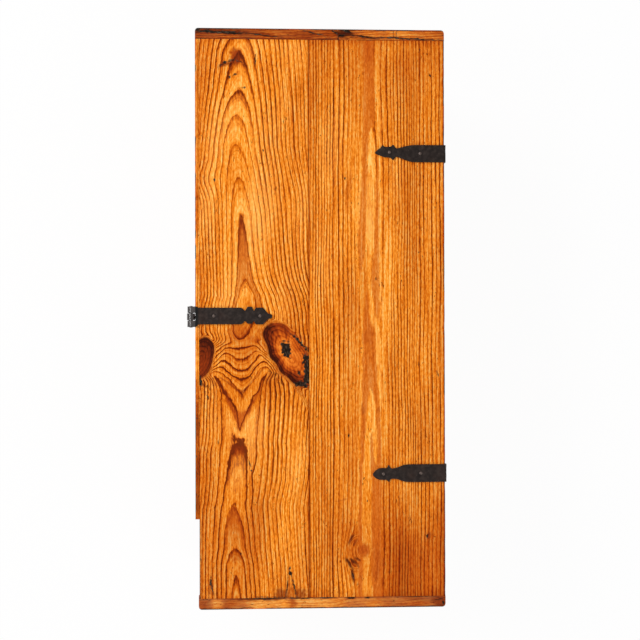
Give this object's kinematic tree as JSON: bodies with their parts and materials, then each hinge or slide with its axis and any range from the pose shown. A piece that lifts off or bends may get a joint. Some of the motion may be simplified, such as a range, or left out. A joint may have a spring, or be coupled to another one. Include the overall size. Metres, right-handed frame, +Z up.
{
  "type": "wooden trunk",
  "caption": "Pine trunk with dovetailed walls, a hinged plank lid with end cleats, black iron strap hinges and a hanging hasp with its staple.",
  "frame": {"origin": "middle of the trunk's underside, on the floor", "axes": "+X along the trunk to the right end seen from the front, +Y from the front with the hasp to the back with the hinges, +Z up"},
  "size_m": [0.909, 0.4075, 0.407],
  "materials": {
    "lid_pine": "worn oiled",
    "box_pine": "worn oiled",
    "strap_iron": "black forged",
    "nail_iron": "worn"
  },
  "bodies": {
    "chest": {"back_lower_board": "box_pine", "back_upper_board": "box_pine", "bottom_back_board": "box_pine", "bottom_front_board": "box_pine", "bottom_nail_1": "nail_iron", "bottom_nail_10": "nail_iron", "bottom_nail_2": "nail_iron", "bottom_nail_3": "nail_iron", "bottom_nail_4": "nail_iron", "bottom_nail_5": "nail_iron", "bottom_nail_6": "nail_iron", "bottom_nail_7": "nail_iron", "bottom_nail_8": "nail_iron", "bottom_nail_9": "nail_iron", "front_lower_board": "box_pine", "front_upper_board": "box_pine", "hasp_staple": "strap_iron", "hinge_leaf_left": "strap_iron", "hinge_leaf_nail_1": "nail_iron", "hinge_leaf_nail_2": "nail_iron", "hinge_leaf_nail_3": "nail_iron", "hinge_leaf_nail_4": "nail_iron", "hinge_leaf_right": "strap_iron", "hinge_pin_left": "strap_iron", "hinge_pin_right": "strap_iron", "left_end_lower_board": "box_pine", "left_end_upper_board": "box_pine", "right_end_lower_board": "box_pine", "right_end_upper_board": "box_pine"},
    "lid": {"cleat_nail_1": "nail_iron", "cleat_nail_2": "nail_iron", "cleat_nail_3": "nail_iron", "cleat_nail_4": "nail_iron", "cleat_nail_5": "nail_iron", "cleat_nail_6": "nail_iron", "cleat_nail_7": "nail_iron", "cleat_nail_8": "nail_iron", "hasp_pin": "strap_iron", "hasp_strap": "strap_iron", "hasp_strap_nail_1": "nail_iron", "hasp_strap_nail_2": "nail_iron", "hinge_strap_left": "strap_iron", "hinge_strap_nail_1": "nail_iron", "hinge_strap_nail_2": "nail_iron", "hinge_strap_nail_3": "nail_iron", "hinge_strap_nail_4": "nail_iron", "hinge_strap_right": "strap_iron", "lid_back_board": "lid_pine", "lid_cleat_left": "lid_pine", "lid_cleat_right": "lid_pine", "lid_front_board": "lid_pine", "lid_front_lip": "lid_pine", "lip_nail_1": "nail_iron", "lip_nail_2": "nail_iron", "lip_nail_3": "nail_iron", "lip_nail_4": "nail_iron", "lip_nail_5": "nail_iron"},
    "hasp": {"hasp_leaf": "strap_iron"}
  },
  "joints": [
    {"name": "lid_hinge", "type": "hinge", "parent": "chest", "child": "lid", "pos_m": [0, 0.1923, 0.3776], "axis": [-1, 0, 0], "range_deg": [0, 105]},
    {"name": "hasp_hinge", "type": "hinge", "parent": "lid", "child": "hasp", "pos_m": [-0.0024, -0.2039, 0.3999], "axis": [-1, 0, 0], "range_deg": [-9, 205]}
  ]
}
